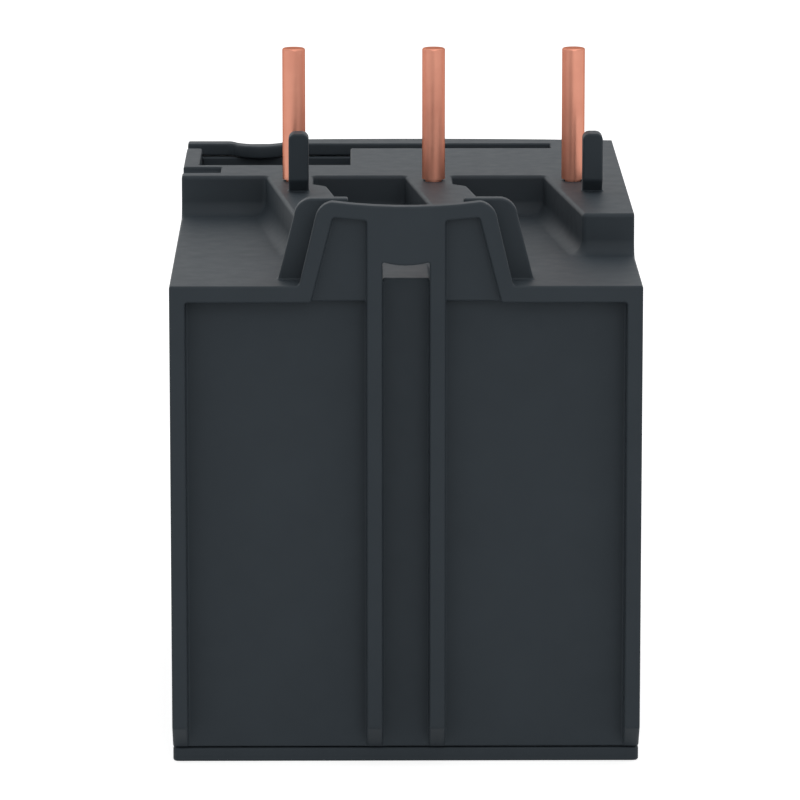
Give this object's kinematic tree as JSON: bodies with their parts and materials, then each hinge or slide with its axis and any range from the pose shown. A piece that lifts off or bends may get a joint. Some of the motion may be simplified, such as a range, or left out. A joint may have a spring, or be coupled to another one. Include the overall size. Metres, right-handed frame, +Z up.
{
  "type": "thermal overload relay",
  "caption": "Thermal overload relay with copper plug-in pins, hook plate, dial, reset and stop buttons, clear flap, and screw terminals.",
  "frame": {"origin": "centre of the foot, on the surface that the relay stands on", "axes": "+Z up along the plug-in pins, -Y towards the dial side, +Y towards the hook plate at the back, +X to the right seen from the dial side"},
  "size_m": [0.045, 0.07, 0.0646],
  "materials": {
    "black_plastic": "satin",
    "clear_plastic": "gloss",
    "white_plastic": "satin",
    "grey_plastic": "satin",
    "natural_plastic": "satin",
    "phenolic_brown": "satin",
    "blue_plastic": "gloss",
    "red_plastic": "gloss",
    "orange_plastic": "satin",
    "copper": "satin",
    "brass_metal": "satin",
    "plated_steel": "satin",
    "spring_steel": "satin",
    "bimetal_strip": "satin",
    "heater_wire": "satin",
    "silver_bronze": "satin"
  },
  "bodies": {
    "root": {"adjusting_lever_pin": "spring_steel", "bimetal_1": "bimetal_strip", "bimetal_2": "bimetal_strip", "bimetal_3": "bimetal_strip", "bottom_plate": "black_plastic", "chassis_plate": "phenolic_brown", "compensation_axle": "spring_steel", "control_clamp_washers": "plated_steel", "control_terminal_screws": "plated_steel", "cover_hinge_pins": "spring_steel", "dial_scale_ring": "white_plastic", "front_fascia": "black_plastic", "heater_1": "heater_wire", "heater_2": "heater_wire", "heater_3": "heater_wire", "nc_blade_terminal": "brass_metal", "nc_fixed_contact": "brass_metal", "no_blade_terminal": "brass_metal", "no_fixed_contact": "brass_metal", "phase_pin_1": "copper", "phase_pin_2": "copper", "phase_pin_3": "copper", "pole_base": "phenolic_brown", "pole_lead_1": "copper", "pole_lead_2": "copper", "pole_lead_3": "copper", "pole_partition_1": "phenolic_brown", "pole_partition_2": "phenolic_brown", "power_bar_1": "copper", "power_bar_2": "copper", "power_bar_3": "copper", "power_clamp_1": "plated_steel", "power_clamp_2": "plated_steel", "power_clamp_3": "plated_steel", "power_clamp_screws": "plated_steel", "rear_housing": "black_plastic", "reset_spring": "spring_steel", "stop_spring": "spring_steel", "terminal_block": "black_plastic", "trip_axle": "spring_steel", "trip_spring": "spring_steel"},
    "cover": {"clear_cover": "clear_plastic"},
    "dial": {"setting_dial": "white_plastic", "setting_cam": "white_plastic"},
    "adjuster": {"adjusting_lever": "natural_plastic"},
    "reset": {"reset_plunger": "grey_plastic"},
    "reset_cap": {"reset_knob": "blue_plastic"},
    "stop": {"stop_button": "red_plastic"},
    "test": {"test_slider": "white_plastic"},
    "slide": {"slide_bar": "natural_plastic"},
    "differential": {"differential_bar": "natural_plastic"},
    "differential_arm": {"differential_lever": "natural_plastic"},
    "compensator": {"compensation_lever": "natural_plastic"},
    "trip_arm": {"trip_lever": "natural_plastic"},
    "nc_blade": {"nc_moving_contact": "silver_bronze"},
    "no_blade": {"no_moving_contact": "silver_bronze"},
    "flag": {"flag_carrier": "black_plastic", "trip_flag": "orange_plastic"}
  },
  "joints": [
    {"name": "cover_hinge", "type": "hinge", "parent": "root", "child": "cover", "pos_m": [0, -0.03295, 0.0324], "axis": [1, 0, 0], "range_deg": [0, 100]},
    {"name": "dial_turn", "type": "hinge", "parent": "root", "child": "dial", "pos_m": [-0.011, -0.032, 0.041], "axis": [0, 1, 0], "range_deg": [0, 270]},
    {"name": "adjuster_swing", "type": "hinge", "parent": "root", "child": "adjuster", "pos_m": [-0.0185, -0.025, 0.0382], "axis": [0, 1, 0], "range_deg": [0, 9.6]},
    {"name": "reset_push", "type": "slide", "parent": "root", "child": "reset", "axis": [0, 1, 0], "range_m": [0, 0.003], "stiffness_N_per_m": 600, "springref_m": -0.0005, "deforming": ["reset_spring"]},
    {"name": "reset_selector", "type": "hinge", "parent": "reset", "child": "reset_cap", "pos_m": [0.0092, -0.0325, 0.036], "axis": [0, 1, 0], "range_deg": [0, 90]},
    {"name": "stop_push", "type": "slide", "parent": "root", "child": "stop", "axis": [0, 1, 0], "range_m": [0, 0.0025], "stiffness_N_per_m": 600, "springref_m": -0.0005, "deforming": ["stop_spring"]},
    {"name": "test_slide", "type": "slide", "parent": "root", "child": "test", "axis": [1, 0, 0], "range_m": [0, 0.002], "stiffness_N_per_m": 300, "springref_m": -0.0003},
    {"name": "slide_shift", "type": "slide", "parent": "root", "child": "slide", "axis": [1, 0, 0], "range_m": [0, 0.0024]},
    {"name": "phase_loss_shift", "type": "slide", "parent": "slide", "child": "differential", "axis": [1, 0, 0], "range_m": [-0.0015, 0]},
    {"name": "differential_swing", "type": "hinge", "parent": "slide", "child": "differential_arm", "pos_m": [-0.0176, 0.0056, 0.043], "axis": [0, 0, 1], "range_deg": [0, 11]},
    {"name": "compensator_swing", "type": "hinge", "parent": "root", "child": "compensator", "pos_m": [-0.0093, -0.0095, 0.04], "axis": [0, 0, 1], "range_deg": [-13.28, 0]},
    {"name": "trip_swing", "type": "hinge", "parent": "root", "child": "trip_arm", "pos_m": [-0.0143, -0.0095, 0.035], "axis": [0, 0, 1], "range_deg": [-13.85, 0]},
    {"name": "nc_blade_flex", "type": "hinge", "parent": "root", "child": "nc_blade", "pos_m": [-0.0179, -0.0112, 0.034], "axis": [0, 0, 1], "range_deg": [-5.11, 0]},
    {"name": "no_blade_flex", "type": "hinge", "parent": "root", "child": "no_blade", "pos_m": [-0.0113, -0.0112, 0.034], "axis": [0, 0, 1], "range_deg": [-4.98, 0]},
    {"name": "flag_shift", "type": "slide", "parent": "root", "child": "flag", "axis": [1, 0, 0], "range_m": [-0.0036, 0]}
  ],
  "couplings": [
    {"joint": "adjuster_swing", "follows": "dial_turn", "ratio": 0.034},
    {"joint": "differential_swing", "follows": "phase_loss_shift", "rad_per_m": -125},
    {"joint": "compensator_swing", "follows": "slide_shift", "rad_per_m": -95.83},
    {"joint": "trip_swing", "follows": "slide_shift", "rad_per_m": -100},
    {"joint": "nc_blade_flex", "follows": "slide_shift", "rad_per_m": -36.4},
    {"joint": "no_blade_flex", "follows": "slide_shift", "rad_per_m": -35.5},
    {"joint": "flag_shift", "follows": "slide_shift", "ratio": -1.4583}
  ]
}
